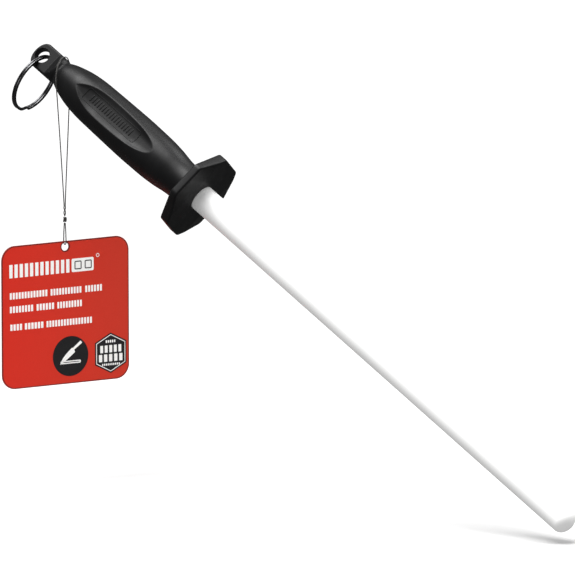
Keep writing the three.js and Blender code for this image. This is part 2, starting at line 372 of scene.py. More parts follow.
def moulding():
    """Satin black plastic with a fine spark-eroded grain, and a painted highlight that makes it a little
    lighter along its convex edges.
    """
    finish = Finish("satin_black_moulding", Specular_IOR_Level=0.24)
    grain = finish.noise(2600, 3, 0.6)
    drift = finish.noise(90, 3)
    base = finish.ramp(drift, (0.3, (0.0045, 0.0045, 0.0048)), (0.7, (0.0068, 0.0068, 0.0072)))
    # painted highlight: the convex edges are mixed towards a lighter grey, in patches
    edge_wear_and_highlight = finish.maths("MULTIPLY", finish.edges(0.53, 0.62), finish.between(drift, 0.2, 0.9, 0.35, 0.65))
    bumps = finish.bump(grain, 0.03 * MM, 0.6)
    return finish.use(
        # the lighter grey along the edges is the painted highlight
        Base_Color=finish.mix(edge_wear_and_highlight, base, (0.032, 0.032, 0.033)),
        Roughness=finish.between(finish.noise(260, 4), 0.4, 0.5, 0.3, 0.7),
        Normal=finish.bump(drift, 0.05 * MM, 0.25, under=bumps),
    )


def ceramic():
    """White ground ceramic: fine rings left by grinding, and a faint grain."""
    finish = Finish("ground_white_ceramic", Specular_IOR_Level=0.4)
    rings = finish.noise(1, 3, 0.7, place=finish.own_frame((5200, 240, 240)))
    grain = finish.noise(4200, 2)
    drift = finish.noise(38, 3)
    base = finish.ramp(drift, (0.3, (0.9, 0.9, 0.895)), (0.7, (0.945, 0.945, 0.94)))
    ground = finish.bump(rings, 0.012 * MM, 0.5)
    return finish.use(
        Base_Color=finish.mix(finish.between(rings, 0, 0.14, 0.35, 0.75), base, (0.84, 0.84, 0.835)),
        Roughness=finish.between(finish.noise(600, 3), 0.38, 0.52, 0.3, 0.7),
        Normal=finish.bump(grain, 0.01 * MM, 0.4, under=ground),
    )


def elastomer():
    """Soft black rubber, nearly matt."""
    finish = Finish("black_elastomer", Specular_IOR_Level=0.3)
    grain = finish.noise(1800, 3)
    base = finish.ramp(finish.noise(300, 2), (0.3, (0.012, 0.012, 0.012)), (0.7, (0.022, 0.022, 0.022)))
    return finish.use(
        Base_Color=base,
        Roughness=finish.between(grain, 0.7, 0.88, 0.3, 0.7),
        Normal=finish.bump(grain, 0.05 * MM, 0.6),
    )


def ring_wire():
    """Dark polished nickel with fine scratches and lighter, rubbed edges."""
    finish = Finish("dark_nickel", Metallic=1.0)
    scratches = finish.noise(5200, 4, 0.75, place=finish.mapped(scale=(1, 0.18, 0.6)))
    cloud = finish.noise(700, 3)
    base = finish.ramp(cloud, (0.3, (0.07, 0.07, 0.073)), (0.7, (0.11, 0.11, 0.113)))
    return finish.use(
        Base_Color=finish.mix(finish.edges(0.54, 0.66), base, (0.2, 0.2, 0.205)),
        Roughness=finish.between(scratches, 0.24, 0.36, 0.3, 0.75),
        Normal=finish.bump(scratches, 0.004 * MM, 0.2),
    )


def thread():
    """Dark spun thread: the plies are modelled, and the fibres are in the bump and colour."""
    finish = Finish("dark_thread", Roughness=0.88, Specular_IOR_Level=0.2, Sheen_Weight=0.25)
    fibres = finish.noise(9000, 3, 0.7, place=finish.mapped(scale=(1, 1, 0.25)))
    base = finish.ramp(fibres, (0.3, (0.018, 0.017, 0.016)), (0.72, (0.09, 0.086, 0.082)))
    return finish.use(Base_Color=base, Normal=finish.bump(fibres, 0.05 * MM, 0.8))


def card():
    """Printed red card: red that is brighter on the left and duller and browner on the right, paper fibre,
    and a cut edge darkened as painted shade.
    """
    finish = Finish("red_card", Specular_IOR_Level=0.4)
    split = finish.node("ShaderNodeSeparateXYZ")
    across = finish.mapped(turn=(0, 0, -math.atan2(TAG_RIGHT.y, TAG_RIGHT.x)))
    finish.feed(split.inputs[0], across)
    low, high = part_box("tag_card")
    middle = (low + high) / 2
    half = (high.z - low.z) / 2
    centre = middle.dot(TAG_RIGHT)
    # the red is brighter on the left of the card and duller and browner on its right
    sweep = finish.between(split.outputs["X"], 0, 1, centre - half, centre + half)
    red = finish.ramp(sweep, (0.0, (0.62, 0.014, 0.002)), (1.0, (0.56, 0.026, 0.008)))
    fibre = finish.noise(1500, 5, 0.65)
    inked = finish.mix(finish.between(fibre, 0, 0.22, 0.45, 0.75), red, (0.42, 0.02, 0.01))
    # painted shade: the red is darkened along the cut edge, where the surface turns away from the tag's
    # faces
    facing = finish.node("ShaderNodeNewGeometry").outputs["True Normal"]
    toward = finish.node(
        "ShaderNodeVectorTransform", vector_type="NORMAL", convert_from="WORLD", convert_to="OBJECT"
    )
    finish.feed(toward.inputs[0], facing)
    dot = finish.node("ShaderNodeVectorMath", operation="DOT_PRODUCT")
    finish.feed(dot.inputs[0], toward.outputs[0])
    dot.inputs[1].default_value = TAG_NORMAL
    face = finish.maths("ABSOLUTE", dot.outputs["Value"])
    cut = finish.between(face, 1, 0, 0.2, 0.8)
    return finish.use(
        # the dark red along the cut edge is painted shade
        Base_Color=finish.mix(cut, inked, (0.09, 0.012, 0.008)),
        Roughness=finish.between(fibre, 0.42, 0.58, 0.3, 0.7),
        Normal=finish.bump(fibre, 0.02 * MM, 0.4),
    )


def card_paint(name, dark, light):
    """Matt paint with the card's fibre showing through: printed ink, and also the dark painted shade along
    the card's edge and round its hole.
    """
    finish = Finish(name, Specular_IOR_Level=0.35)
    fibre = finish.noise(1500, 5, 0.65)
    return finish.use(
        Base_Color=finish.ramp(fibre, (0.3, dark), (0.7, light)),
        Roughness=finish.between(fibre, 0.45, 0.6, 0.3, 0.7),
        Normal=finish.bump(fibre, 0.02 * MM, 0.4),
    )


BLACK_PLASTIC = moulding()
WHITE_CERAMIC = ceramic()
RUBBER = elastomer()
NICKEL = ring_wire()
THREAD = thread()
RED_CARD = card()
WHITE_INK = card_paint("white_ink", (0.8, 0.79, 0.77), (0.9, 0.89, 0.87))
BLACK_INK = card_paint("black_ink", (0.008, 0.008, 0.009), (0.016, 0.016, 0.017))
# dark red painted shade for the lines along the tag's edge and round its hole
EDGE_SHADE_PAINT = card_paint("painted_edge_shade", (0.1, 0.012, 0.008), (0.15, 0.016, 0.01))


# ---------------------------------------------------------------- string and knot
PLIES = 3
PLY_RADIUS = 0.15
PLY_OFFSET = 0.145
PLY_PITCH = 2.2
PLY_SIDES = 7
PLY_STEP = 0.22
KNOT_REACH = 0.23  # scale of the trefoil, across and along
KNOT_LEAN = 0.95
KNOT_THREAD = 0.3
KNOT_SIDES = 9
KNOT_RIBBING = 0.06
ROUTE_STEPS = 12

# Offsets from the neck's axis, from the knot up the near strand, over the neck and down again.
STRING_ROUTE = [
    (0.1, -0.4, -67.4),
    (0.42, 0.0, -66.2),
    (0.0, 0.42, -65.0),
    (-0.42, 0.0, -63.8),
    (0.0, -0.46, -62.4),
    (0.3, -1.2, -57.5),
    (0.75, -2.95, -44),
    (1.3, -5.25, -27),
    (1.9, -7.65, -10.5),
    (2.1, -8.8, -1.6),
    (2.05, -8.5, 1.9),
    (1.65, -6.9, 5.4),
    (0.95, -4.0, 7.8),
    (0.0, 0.0, 8.6),
    (-0.95, 3.6, 7.8),
    (-1.65, 6.0, 5.4),
    (-2.05, 7.2, 1.9),
    (-2.1, 7.35, -1.6),
    (-1.85, 6.45, -10.5),
    (-1.3, 4.6, -27),
    (-0.75, 2.65, -44),
    (-0.3, 1.1, -57.5),
    (0.0, 0.46, -62.4),
    (0.42, 0.0, -63.8),
    (0.0, -0.42, -65.0),
    (-0.42, 0.0, -66.2),
    (-0.1, 0.4, -67.4),
]
# The small loop below the knot: offset along the tag's normal, height from the neck's axis.
LOOP_ROUTE = [
    (0.42, -70.6),
    (0.8, -73.5),
    (1.06, -77),
    (1.12, -79.6),
    (0.8, -80.57),
    (0, -80.95),
    (-0.8, -80.57),
    (-1.12, -79.6),
    (-1.06, -77),
    (-0.8, -73.5),
    (-0.42, -70.6),
]


def twisted_thread(skin, line):
    """Plies laid round a line, in metres."""
    line = evenly(line, PLY_STEP * MM)
    across, square = carried_frames(line)
    turn = np.arange(len(line)) * PLY_STEP / PLY_PITCH * TAU
    for ply in range(PLIES):
        angle = (turn + ply * TAU / PLIES)[:, None]
        path = line + PLY_OFFSET * MM * (np.cos(angle) * across + np.sin(angle) * square)
        skin.loft(tube_rings(path, PLY_RADIUS * MM, PLY_SIDES))
    return skin


def make_strings():
    neck = np.array(NECK)
    upper = through(np.array(STRING_ROUTE) * MM + neck, ROUTE_STEPS)
    top = twisted_thread(Skin(), upper).piece(
        "tag_string", THREAD, "string", "string", replaces=["tag_string_upper"], sharp=80
    )
    loop = [np.array(TAG_NORMAL) * out * MM + neck + (0, 0, height * MM) for out, height in LOOP_ROUTE]
    lower = twisted_thread(Skin(), through(loop, ROUTE_STEPS)).piece(
        "tag_loop_string", THREAD, "tag_loop", "string", replaces=["tag_string_lower"], sharp=80
    )
    knot = make_knot()


def make_knot():
    """An overhand knot pulled small: a trefoil of the same twisted thread."""
    low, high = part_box("string_knot")
    middle = np.array((low + high) / 2)
    turn = np.linspace(0, TAU, 121)[:-1]
    line = np.stack(
        [
            KNOT_REACH * (np.sin(turn) + 2 * np.sin(2 * turn)),
            KNOT_REACH * (np.cos(turn) - 2 * np.cos(2 * turn)),
            -KNOT_LEAN * np.sin(3 * turn),
        ],
        1,
    )
    across, square = carried_frames(line)
    skin = Skin()
    sides = KNOT_SIDES
    ribs = np.arange(sides) / sides * TAU
    radius = KNOT_THREAD * (1 + KNOT_RIBBING * np.cos(PLIES * ribs))
    rings = line[:, None] + radius[None, :, None] * (
        np.cos(ribs)[None, :, None] * across[:, None] + np.sin(ribs)[None, :, None] * square[:, None]
    )
    skin.loft(middle + rings * MM, closed=True)
    return skin.piece("tag_string_knot", THREAD, "string", "string", replaces=["string_knot"], sharp=80)


make_strings()


# ---------------------------------------------------------------- rod, sleeve and pad
ROD_DOME = 4.8
ROD_CHAMFER = 1.0
ROD_SIDES = 144


def circle_ring(x, radius, sides):
    turn = np.arange(sides) / sides * TAU
    return np.stack([np.full(sides, x), radius * np.cos(turn), radius * np.sin(turn)], 1)


def make_rod():
    low, high = own_box("ceramic_rod")
    tail, tip, radius = low[0], high[0], high[1]
    turns = np.linspace(0, math.pi / 2, 19)[:-1]
    stations = [(tail, radius - ROD_CHAMFER), (tail + ROD_CHAMFER, radius)]
    stations += [(x, radius) for x in np.linspace(0, tip - 2 * ROD_DOME, 60)]
    stations += [(tip - ROD_DOME + ROD_DOME * math.sin(t), radius * math.cos(t)) for t in turns]
    stations.append((tip, 0.12))
    rings = [to_row(circle_ring(x, r, ROD_SIDES)) for x, r in stations]
    Skin().loft(rings).piece(
        "honing_rod", WHITE_CERAMIC, "steel", "ceramic", replaces=["ceramic_rod"], sharp=40
    )


def finish_inner_parts():
    for node in ("rod_sleeve", "rod_end_pad"):
        part = frame["nodes"][node]
        part.data.materials.clear()
        part.data.materials.append(RUBBER)


make_rod()
finish_inner_parts()


# ---------------------------------------------------------------- finger guard
GUARD_SIDES = 8
GUARD_CORNER = 2.4  # rounding of the octagon's corners
GUARD_EDGE = 0.85  # rounding of its rim
GUARD_BAND = 11.5
GUARD_FALL = 1.4
GUARD_RIDGE = 0.35  # rounding of the ridges beside the front's flat band
BORE_RADIUS = 6.65
BORE_EDGE = 0.5
COUNTERBORE_RADIUS = 9.2
COUNTERBORE_FRONT = -1.9
COUNTERBORE_EDGE = 0.3
GUARD_ANGLES = 256


def octagon_radius(angle, half):
    """Distance from the axis to a rounded octagon whose sides are half away."""
    sector = TAU / GUARD_SIDES
    turned = np.abs((angle + sector / 2) % sector - sector / 2)
    inner = half - GUARD_CORNER
    corner = inner / math.cos(sector / 2)
    off_corner = sector / 2 - turned
    on_flat = half / np.cos(turned)
    bow = GUARD_CORNER**2 - (corner * np.sin(off_corner)) ** 2
    on_corner = corner * np.cos(off_corner) + np.sqrt(np.clip(bow, 0, None))
    flat_reach = inner * math.tan(sector / 2)
    return np.where(on_flat * np.sin(turned) <= flat_reach, on_flat, on_corner)


def guard_front_x(y, half):
    """The front face: a flat band across the middle, falling away on both sides."""
    past = np.abs(y) - GUARD_BAND
    eased = (past + np.sqrt(past**2 + GUARD_RIDGE**2)) / 2
    return -GUARD_FALL * eased / (half - GUARD_BAND)


def make_guard():
    low, high = own_box("finger_guard")
    back, half = low[0], high[1]
    angle = np.arange(GUARD_ANGLES) / GUARD_ANGLES * TAU
    rim = octagon_radius(angle, half)
    quarter = np.linspace(0, math.pi / 2, 7)

    def ring(x, radius):
        radius = np.broadcast_to(radius, angle.shape)
        return np.stack([np.broadcast_to(x, angle.shape), radius * np.cos(angle), radius * np.sin(angle)], 1)

    def front(radius):
        return guard_front_x(radius * np.cos(angle), half)

    rings = [
        ring(COUNTERBORE_FRONT, COUNTERBORE_RADIUS),
        ring(back + COUNTERBORE_EDGE, COUNTERBORE_RADIUS),
        ring(back, COUNTERBORE_RADIUS + COUNTERBORE_EDGE),
    ]
    back_width = rim - GUARD_EDGE - COUNTERBORE_RADIUS - COUNTERBORE_EDGE
    for share in (0.25, 0.5, 0.75, 1):
        rings.append(ring(back, COUNTERBORE_RADIUS + COUNTERBORE_EDGE + share * back_width))
    for turn in quarter[1:]:
        inset = GUARD_EDGE * (1 - math.sin(turn))
        rings.append(ring(back + GUARD_EDGE * (1 - math.cos(turn)), rim - inset))
    for turn in quarter:
        radius = rim - GUARD_EDGE * (1 - math.cos(turn))
        rings.append(ring(front(radius) - GUARD_EDGE * (1 - math.sin(turn)), radius))
    inner = BORE_RADIUS + BORE_EDGE
    for share in np.linspace(1, 0, 36)[1:]:
        radius = inner + share * (rim - GUARD_EDGE - inner)
        rings.append(ring(front(radius), radius))
    for turn in quarter[1:]:
        x = front(np.full(GUARD_ANGLES, BORE_RADIUS)) - BORE_EDGE * (1 - math.cos(turn))
        rings.append(ring(x, inner - BORE_EDGE * math.sin(turn)))
    rings.append(ring(COUNTERBORE_FRONT, BORE_RADIUS))
    Skin().loft([to_row(r) for r in rings], closed=True).piece(
        "octagonal_finger_guard", BLACK_PLASTIC, "steel", "moulding", replaces=["finger_guard"], sharp=48
    )


make_guard()


# ---------------------------------------------------------------- handle
# Handle outline behind the guard: x, radius.
GRIP_OUTLINE = [
    (-5.7, 9.5),
    (-10, 9.45),
    (-14.7, 9.55),
    (-18.4, 9.9),
    (-24.2, 10.75),
    (-31, 11.3),
    (-38.4, 11.5),
    (-47, 11.6),
    (-59, 11.4),
    (-70, 11.15),
    (-76, 10.95),
    (-81.3, 10.5),
    (-87, 9.6),
    (-92.7, 8.1),
    (-95.5, 7.1),
    (-97.7, 6.15),
    (-99.3, 6.5),
]
LUG_RADIUS = 6.55
LUG_START = -99.9
LUG_ROUND = 3.9  # length of the lug's rounded end
LUG_FLAT = 2.5  # the eye's flats, from the axis
FLAT_FRONT = -103.9
EYE_X = -110.8
EYE_RADIUS = 3.5
EYE_LIP = 0.45  # rounding where the eye meets the flats
EYE_OVERCUT = 0.03  # how far past the flats the lip's rounding ends
SPIGOT_RADIUS = 8.9
SPIGOT_FRONT = -2.2
SOCKET_RADIUS = 7.6
SOCKET_BOTTOM = -54.9
HANDLE_ANGLES = 248

# Grip panel: cubic curves of an almond's upper half, from its pointed rear end, [x, half width].
PANEL_REAR = (-83.6, 0)
PANEL_CURVES = [
    [(-79, 4.6), (-73, 6.35), (-62, 6.35)],
    [(-48, 6.35), (-37, 5.3), (-32.5, 2.2)],
    [(-31.5, 1.33), (-31, 0.6), (-31, 0)],
]
PANEL_DEPTH = 2.6
PANEL_EASE_REAR = 15  # length over which the panel sinks to its full depth
PANEL_EASE_FRONT = 13
PANEL_BLEND = 0.4  # rounding of the panel's edge
PANEL_ROUNDS = 16  # steps that settle the panel's depth
PANEL_GAIN = 0.6
PANEL_FAR = 20
FLAT_BLEND = 0.5
FLAT_FAR = 60
END_CAP_TURN = 0.04
NECK_FRONT = -97


def bezier(points, steps):
    start, leave, arrive, end = (np.asarray(point, float) for point in points)
    t = np.linspace(0, 1, steps)[:, None]
    return (
        (1 - t) ** 3 * start
        + 3 * t * (1 - t) ** 2 * leave
        + 3 * t**2 * (1 - t) * arrive
        + t**3 * end
    )


def panel_edge():
    edge = []
    start = PANEL_REAR
    for leave, arrive, end in PANEL_CURVES:
        edge.append(bezier((start, leave, arrive, end), 24))
        start = end
    return np.vstack(edge)


PANEL_EDGE = panel_edge()
GRIP_CURVE = through([(x, r, 0) for x, r in GRIP_OUTLINE], 14, power=0)[::-1]
LUG_END = own_box("handle_body")[0][0]


def grip_radius(x):
    """The handle's round outline, without its flats and panels."""
    x = np.asarray(x, float)
    grip = np.interp(x, GRIP_CURVE[:, 0], GRIP_CURVE[:, 1])
    into_end = np.clip((LUG_END + LUG_ROUND - x) / LUG_ROUND, 0, 1)
    lug = LUG_RADIUS * np.sqrt(1 - into_end**2)
    collar = np.interp(x, [LUG_START, GRIP_OUTLINE[-1][0]], [LUG_RADIUS, GRIP_OUTLINE[-1][1]])
    return np.where(x >= GRIP_OUTLINE[-1][0], grip, np.where(x <= LUG_START, lug, collar))


def panel_height(x, z):
    """The sunk panel's surface, from the axis, where it is cut into the grip."""
    half = np.maximum(np.interp(x, PANEL_EDGE[:, 0], PANEL_EDGE[:, 1]), 0.02)
    outer = grip_radius(x)
    rear, front = PANEL_EDGE[0, 0], PANEL_EDGE[-1, 0]
    ease = np.minimum(
        np.clip((x - rear) / PANEL_EASE_REAR, 0, 1), np.clip((front - x) / PANEL_EASE_FRONT, 0, 1)
    )
    floor = outer - PANEL_DEPTH * np.sin(ease * math.pi / 2)
    rim = np.sqrt(np.clip(outer**2 - half**2, 1, None))
    return floor + (rim - floor) * np.clip(np.abs(z) / half, 0, 1.6) ** 3


def handle_radius(x, angle):
    """Distance from the axis to the handle's skin at stations x and angles round the axis."""
    x, angle = np.meshgrid(x, angle, indexing="ij")
    outer = grip_radius(x)
    facing = np.maximum(np.abs(np.cos(angle)), 1e-6)
    ramp = np.interp(x, [FLAT_FRONT, LUG_START], [LUG_FLAT, LUG_RADIUS])
    flat = np.where(x < LUG_START, ramp / facing, np.inf)
    skin = np.where(x < LUG_START, smooth_least(outer, np.minimum(flat, FLAT_FAR), FLAT_BLEND), outer)
    inside = (x > PANEL_EDGE[0, 0]) & (x < PANEL_EDGE[-1, 0]) & (facing > 0.5)
    sunk = outer.copy()
    for _ in range(PANEL_ROUNDS):
        height = panel_height(x, sunk * np.sin(angle))
        sunk = (1 - PANEL_GAIN) * sunk + PANEL_GAIN * np.minimum(height / facing, PANEL_FAR)
    return np.where(inside, smooth_least(skin, sunk, PANEL_BLEND), skin)


def handle_rings():
    angle = np.arange(HANDLE_ANGLES) / HANDLE_ANGLES * TAU
    rounded = LUG_END + LUG_ROUND * (1 - np.cos(np.linspace(END_CAP_TURN, math.pi / 2, 20)))
    stations = np.concatenate(
        [
            rounded,
            np.linspace(rounded[-1], LUG_START, 40)[1:],
            np.linspace(LUG_START, NECK_FRONT, 20)[1:],
            np.linspace(NECK_FRONT, GRIP_OUTLINE[0][0], 236)[1:],
        ]
    )
    radii = handle_radius(stations, angle)
    rings = [
        np.stack([np.full(HANDLE_ANGLES, x), r * np.cos(angle), r * np.sin(angle)], 1)
        for x, r in zip(stations, radii)
    ]
    inner = [
        (GRIP_OUTLINE[0][0], SPIGOT_RADIUS),
        (SPIGOT_FRONT, SPIGOT_RADIUS),
        (SPIGOT_FRONT, SOCKET_RADIUS),
        (SOCKET_BOTTOM, SOCKET_RADIUS),
    ]
    return rings + [circle_ring(x, r, HANDLE_ANGLES) for x, r in inner]


def eye_cutter():
    """A round cutter along y, flared so that the eye's lips come out rounded."""
    turn = np.linspace(0, math.pi / 2, 7)
    start = LUG_FLAT - EYE_LIP + EYE_OVERCUT
    half = [(0, EYE_RADIUS)]
    half += [(start + EYE_LIP * math.sin(t), EYE_RADIUS + EYE_LIP * (1 - math.cos(t))) for t in turn]
    half.append((LUG_RADIUS, EYE_RADIUS + EYE_LIP))
    profile = [(-y, r) for y, r in half[:0:-1]] + half
    sides = 72
    around = np.arange(sides) / sides * TAU
    rings = [
        np.stack([EYE_X + r * np.cos(around), np.full(sides, y), r * np.sin(around)], 1) for y, r in profile
    ]
    return Skin().loft([to_row(ring) for ring in rings])


def make_handle():
    handle = Skin().loft([to_row(ring) for ring in handle_rings()]).piece(
        "moulded_handle", BLACK_PLASTIC, "steel", "moulding", replaces=["handle_body"], sharp=38
    )
    cutter = eye_cutter().piece("eye_cutter", BLACK_PLASTIC, "steel", "moulding")
    cut = handle.modifiers.new("eye", "BOOLEAN")
    cut.operation = "DIFFERENCE"
    cut.solver = "EXACT"
    cut.object = cutter
    graph = bpy.context.evaluated_depsgraph_get()
    handle.data = bpy.data.meshes.new_from_object(handle.evaluated_get(graph))
    handle.modifiers.clear()
    bpy.data.objects.remove(cutter)
    handle.data.shade_smooth()
    handle.data.set_sharp_from_angle(angle=math.radians(38))


make_handle()


# ---------------------------------------------------------------- raised marks in the grip panels
MARK_HEIGHT = 0.22
MARK_ROOT = 0.12  # how far a mark's foot is sunk into the panel
MARK_SLOPE = 0.12  # how much narrower a line's crown is than its foot, on each side
FRAME_REAR, FRAME_FRONT = -77.4, -41.9
FRAME_LOW, FRAME_HIGH = -3.0, 3.4
FRAME_CORNER = 1.2
FRAME_LINE = 0.5
RIB_REAR, RIB_FRONT = -74.2, -45.4
RIB_LOW, RIB_HIGH = -1.75, 2.15
RIB_WIDTH = 0.7
RIB_COUNT = 17


def rounded_box(low_u, high_u, low_v, high_v, corner, steps=6):
    """Points round a rectangle with rounded corners."""
    points = []
    middles = [
        (high_u - corner, low_v + corner, -math.pi / 2),
        (high_u - corner, high_v - corner, 0),
        (low_u + corner, high_v - corner, math.pi / 2),
        (low_u + corner, low_v + corner, math.pi),
    ]
    for u, v, start in middles:
        for turn in np.linspace(start, start + math.pi / 2, steps):
            points.append((u + corner * math.cos(turn), v + corner * math.sin(turn)))
    return np.array(points)


def outwards(outline):
    """The direction out of a closed outline at each of its points."""
    ahead = np.roll(outline, -1, axis=0) - np.roll(outline, 1, axis=0)
    ahead /= np.linalg.norm(ahead, axis=1)[:, None]
    return np.stack([ahead[:, 1], -ahead[:, 0]], 1)


def subdivided(outline, spacing):
    """A closed outline with points added along its long sides."""
    points = []
    for start, end in zip(outline, np.roll(outline, -1, axis=0)):
        count = max(1, math.ceil(np.linalg.norm(end - start) / spacing))
        points += [start + (end - start) * step / count for step in range(count)]
    return np.array(points)


def on_panel(outline, side, rise):
    """Points [x, z] of a grip panel, lifted by rise from its surface, in the row frame."""
    x, z = outline[:, 0], outline[:, 1]
    height = panel_height(x, z) + rise
    return to_row(np.stack([x, side * height, z], 1))


def raised_line(skin, outline, width, side):
    """A raised line of that width round a closed outline, with sloping sides."""
    out = outwards(outline)
    foot, crown = width / 2, width / 2 - MARK_SLOPE
    profile = [(foot, -MARK_ROOT), (foot, 0.02), (crown, MARK_HEIGHT)]
    profile += [(-offset, rise) for offset, rise in profile[::-1]]
    skin.loft([on_panel(outline + out * offset, side, rise) for offset, rise in profile], closed=True)


def raised_patch(skin, outline, side):
    """A raised patch with sloping sides and a flat top."""
    middle = outline.mean(0)
    steps = [(1, -MARK_ROOT), (1, 0.02), (0.8, MARK_HEIGHT - 0.03), (0.62, MARK_HEIGHT)]
    shrink = np.array([1, 0.35])
    rings = []
    for share, rise in steps:
        inset = outline - (outline - middle) * (1 - share) * shrink
        rings.append(on_panel(inset, side, rise))
    skin.loft(rings)


def make_panel_marks():
    for side, name in ((-1, "near_panel_marks"), (1, "far_panel_marks")):
        skin = Skin()
        edge = rounded_box(FRAME_REAR, FRAME_FRONT, FRAME_LOW, FRAME_HIGH, FRAME_CORNER)
        raised_line(skin, subdivided(edge, 0.8), FRAME_LINE, side)
        for index in range(RIB_COUNT):
            x = RIB_REAR + (RIB_FRONT - RIB_REAR) * (index + 0.5) / RIB_COUNT
            rib = rounded_box(x - RIB_WIDTH / 2, x + RIB_WIDTH / 2, RIB_LOW, RIB_HIGH, 0.3, 4)
            raised_patch(skin, subdivided(rib, 0.7), side)
        skin.piece(name, BLACK_PLASTIC, "steel", "moulding", sharp=50)


make_panel_marks()


# ---------------------------------------------------------------- split ring
RING_RADIUS = 14
RING_LAYER = 1.02
RING_LEAN = math.radians(8.2)
RING_STEP_ANGLE = math.radians(24)
RING_ENDS_AT = math.radians(200)
RING_END_GAP = math.radians(2)
RING_HALF_WIDTH = 0.72  # the flattened wire, from its middle outwards
RING_HALF_LAYER = 0.49
RING_POINTS = 360
RING_SIDES = 20
RING_POWER = 0.55


def make_ring():
    down = Vector(-AWAY * math.cos(RING_LEAN) + ALONG * math.sin(RING_LEAN))
    across = Vector((0, 1, 0))
    normal = down.cross(across)
    centre = np.array(EYE + down * RING_RADIUS * MM)
    turned = np.linspace(0, 2 * TAU - RING_STEP_ANGLE - RING_END_GAP, RING_POINTS)
    step = np.clip((turned - (TAU - RING_STEP_ANGLE)) / RING_STEP_ANGLE, 0, 1)
    step = step * step * (3 - 2 * step)
    angle = RING_ENDS_AT + turned
    out = np.cos(angle)[:, None] * -np.array(down) + np.sin(angle)[:, None] * np.array(across)
    middle = centre + RING_RADIUS * MM * out + ((step - 0.5) * RING_LAYER * MM)[:, None] * np.array(normal)
    section = np.arange(RING_SIDES) / RING_SIDES * TAU
    wide = np.sign(np.cos(section)) * np.abs(np.cos(section)) ** RING_POWER * RING_HALF_WIDTH * MM
    thick = np.sign(np.sin(section)) * np.abs(np.sin(section)) ** RING_POWER * RING_HALF_LAYER * MM
    rings = (
        middle[:, None]
        + wide[None, :, None] * out[:, None]
        + thick[None, :, None] * np.array(normal)[None, None]
    )
    Skin().loft(rings).piece("split_ring", NICKEL, "ring", "ring_wire", replaces=["hang_ring"], sharp=50)


make_ring()


# ---------------------------------------------------------------- tag
LAYER_THICKNESS = 0.035
LAYER_SUNK = 0.01  # how far a layer's underside lies in the card


def finish_card():
    tag = frame["nodes"]["tag_card"]
    tag.data.materials.clear()
    tag.data.materials.append(RED_CARD)


class CardLayer:
    """Flat pieces of one paint on the tag, printed ink and also the painted edge shade: card millimetres, u
    to the right and v up from its middle.
    """

    def __init__(self, face, layer=0):
        low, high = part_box("tag_card")
        self.middle = np.array((low + high) / 2)
        self.face = face
        self.half = self.card_half_thickness()
        self.layer = layer
        self.skin = Skin()

    @staticmethod
    def card_half_thickness():
        corners = np.array([vertex.co for vertex in frame["nodes"]["tag_card"].data.vertices])
        depth = corners @ np.array(TAG_NORMAL)
        return (depth.max() - depth.min()) / 2 / MM

    def at(self, outline, rise):
        outline = np.asarray(outline, float)
        u = self.face * outline[:, :1] * np.array(TAG_RIGHT)
        v = outline[:, 1:] * np.array((0, 0, 1))
        out = self.face * (self.half + rise) * np.array(TAG_NORMAL)
        return self.middle + (u + v + out) * MM

    def levels(self):
        base = self.layer * LAYER_THICKNESS
        return base - LAYER_SUNK, base + LAYER_THICKNESS

    def patch(self, outline):
        low, high = self.levels()
        self.skin.loft([self.at(outline, low), self.at(outline, high)])

    def line(self, outline, width):
        """A line of that width along a closed outline."""
        out = outwards(outline) * width / 2
        low, high = self.levels()
        edges = [(1, low), (1, high), (-1, high), (-1, low)]
        self.skin.loft([self.at(outline + out * way, rise) for way, rise in edges], closed=True)

    def box(self, low_u, high_u, low_v, high_v, corner=0.25):
        self.patch(rounded_box(low_u, high_u, low_v, high_v, corner, 4))

    def row(self, low_u, high_u, low_v, high_v, pitch, share=0.62):
        """Upright blocks in place of a printed word."""
        count = max(1, round((high_u - low_u) / pitch))
        step = (high_u - low_u + pitch * (1 - share)) / count
        for index in range(count):
            start = low_u + index * step
            self.box(start, start + step - pitch * (1 - share), low_v, high_v, 0.18)

    def piece(self, name, material, slot):
        return self.skin.piece(name, material, "tag", slot, sharp=60)


def circle(u, v, radius, steps=64):
    turn = np.arange(steps) / steps * TAU
    return np.stack([u + radius * np.cos(turn), v + radius * np.sin(turn)], 1)


TAG_HALF = 34.25
TAG_HOLE_V = 31.55
HEADLINE = (-30.2, 2.2, 19.0, 25.4)
HEADLINE_PITCH = 2.75
TEXT_LINES = [
    (8.8, 11.9, [(-30, -9.8), (-8, 8.6), (10.7, 19.7)]),
    (2.3, 5.4, [(-30, -17.5), (-15.6, -6.2), (-4.4, 8.8)]),
    (-6.2, -3.2, [(-29.8, -23.5), (-22, -12), (-10.3, 14.2)]),
]
LETTER_PITCH = 1.55
DISC = (2.6, -21.1, 9.6)
HEXAGON = [(24.3, -11.8), (32.8, -16.2), (32.8, -26.8), (24.3, -31.2), (15.8, -26.8), (15.8, -16.2)]
# each row of bars in the hexagon: from, to, low, high, and what row() takes after them
HEXAGON_ROWS = [
    (21.6, 26.8, -16.6, -15.3, 1.0, 0.6),
    (18.6, 30.0, -21.3, -17.8, 2.4, 0.62),
    (17.9, 30.6, -25.6, -22.1, 2.6, 0.62),
    (19.6, 29.2, -27.5, -26.5, 0.95, 0.6),
]


def knife_outline(u, v, size, turn):
    """A plain chef's knife, its edge down and its point to the left before it is turned."""
    blade = bezier([(-1, -0.1), (-0.7, 0.12), (-0.3, 0.16), (0.25, 0.17)], 12)
    handle = np.array([(0.3, 0.12), (0.95, 0.12), (0.98, -0.02), (0.92, -0.06), (0.3, -0.02), (0.25, -0.17)])
    edge = bezier([(0.2, -0.17), (-0.3, -0.17), (-0.7, -0.16), (-0.95, -0.1)], 12)
    points = np.vstack([blade, handle, edge]) * size
    turned = np.stack(
        [
            points[:, 0] * math.cos(turn) - points[:, 1] * math.sin(turn),
            points[:, 0] * math.sin(turn) + points[:, 1] * math.cos(turn),
        ],
        1,
    )
    return turned + (u, v)


